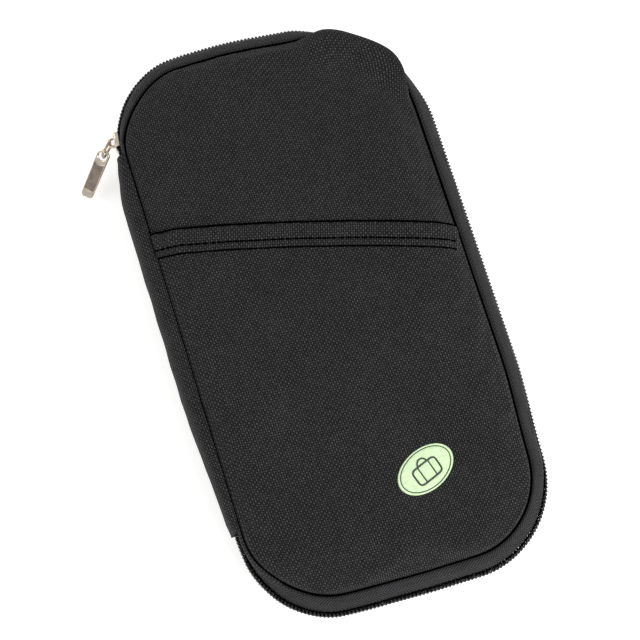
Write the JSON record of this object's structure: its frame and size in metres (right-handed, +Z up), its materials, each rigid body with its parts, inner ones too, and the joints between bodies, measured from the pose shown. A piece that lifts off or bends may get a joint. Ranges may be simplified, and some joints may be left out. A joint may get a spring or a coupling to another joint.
{
  "type": "passport holder wallet",
  "caption": "Zip-around padded cloth travel wallet with a slanted front slip pocket, a metal zipper pull and inner pockets for passport, cards and coins.",
  "frame": {"origin": "middle of the flat face that the wallet lies on, on the back cover's outside", "axes": "+Z up out of the front cover, +Y along the length towards the end where the zipper slider parks, +X away from the spine"},
  "size_m": [0.1437, 0.235, 0.025],
  "materials": {
    "outer_cloth": "plain-weave oxford polyester, matt",
    "lining_cloth": "fine plain-weave polyester, slight sheen",
    "foam": "closed-cell foam board, hidden",
    "binding_tape": "ribbed binding tape",
    "zipper_tape": "herringbone woven zipper tape",
    "zipper_coil": "moulded nylon coil, semi-gloss",
    "clear_film": "clear flexible film",
    "label": "soft moulded patch, satin",
    "plated_metal": "pale gold plating, polished rims and a brushed face",
    "dark_metal": "gunmetal plating"
  },
  "bodies": {
    "back_cover": {"back_outer_fabric": "outer_cloth", "back_foam_board": "foam", "back_lining": "lining_cloth", "back_zipper_tape": "zipper_tape", "back_zipper_coil": "zipper_coil", "front_zipper_end_top": "zipper_coil", "front_zipper_end_bottom": "zipper_coil", "spine_strip": "outer_cloth", "ticket_pocket": "lining_cloth", "passport_pocket": "lining_cloth", "passport_pocket_binding": "binding_tape"},
    "front_cover": {"front_outer_fabric": "outer_cloth", "front_foam_board": "foam", "front_lining": "lining_cloth", "front_zipper_tape": "zipper_tape", "front_zipper_coil": "zipper_coil", "slip_pocket_panel": "outer_cloth", "slip_pocket_hem": "outer_cloth", "badge_label": "label", "card_slot_1": "lining_cloth", "card_slot_2": "lining_cloth", "card_slot_3": "lining_cloth", "card_slot_4": "lining_cloth", "id_window_frame": "lining_cloth", "id_window_film": "clear_film", "coin_pocket_panel": "lining_cloth", "coin_zipper_tape": "zipper_tape", "coin_zipper_coil": "zipper_coil"},
    "slider": {"slider": "plated_metal"},
    "pull_link": {"pull_link": "plated_metal"},
    "pull_tab": {"pull_tab": "plated_metal"},
    "coin_slider": {"coin_slider": "dark_metal"},
    "coin_pull": {"coin_pull": "dark_metal"}
  },
  "joints": [
    {"name": "cover_hinge", "type": "hinge", "parent": "back_cover", "child": "front_cover", "pos_m": [-0.0615, 0, 0.0125], "axis": [0, -1, 0], "range_deg": [0, 180]},
    {"name": "slider_travel", "type": "hinge", "parent": "back_cover", "child": "slider", "pos_m": [-0.03, 0.0875, 0.0125], "axis": [0, 0, -1], "range_deg": [0, 72]},
    {"name": "pull_swing", "type": "hinge", "parent": "slider", "child": "pull_link", "pos_m": [-0.06215, 0.0906, 0.0125], "axis": [0, 0, 1], "range_deg": [-115, 5]},
    {"name": "tab_lift", "type": "hinge", "parent": "pull_link", "child": "pull_tab", "pos_m": [-0.06646, 0.08628, 0.0125], "axis": [-0.7071, 0.7071, 0], "range_deg": [0, 66]},
    {"name": "coin_slider_travel", "type": "slide", "parent": "front_cover", "child": "coin_slider", "axis": [1, 0, 0], "range_m": [0, 0.067]},
    {"name": "coin_pull_flip", "type": "hinge", "parent": "coin_slider", "child": "coin_pull", "pos_m": [-0.033, 0.086, 0.0158], "axis": [0, 1, 0], "range_deg": [0, 170]}
  ],
  "couplings": [
    {"joint": "slider_travel", "follows": "cover_hinge", "ratio": 0.4}
  ]
}
